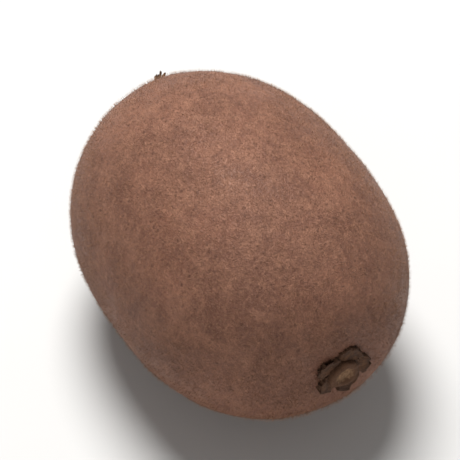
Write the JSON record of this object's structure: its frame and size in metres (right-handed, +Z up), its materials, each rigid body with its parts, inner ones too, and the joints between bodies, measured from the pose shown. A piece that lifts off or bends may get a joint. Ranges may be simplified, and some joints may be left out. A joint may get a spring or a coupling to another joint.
{
  "type": "golden kiwi fruit",
  "caption": "Whole golden kiwi fruit lying on its side: a smooth oval brown-skinned berry with a dried calyx at its stalk end and a tuft of dried styles at its blossom end.",
  "frame": {"origin": "on the ground, below the middle of the part's box", "axes": "+Z up, +X along the fruit's long axis towards its stalk end, the blossom end at -X"},
  "size_m": [0.0778, 0.0556, 0.053],
  "materials": {
    "skin": "thin brown fruit skin, satin, with fine specks and very short fuzz",
    "calyx": "dry and matte, woody scar with papery sepals",
    "styles": "dry and matte, dark brown"
  },
  "bodies": {
    "root": {"berry": "skin", "dried_calyx": "calyx", "dried_styles": "styles"}
  },
  "joints": []
}
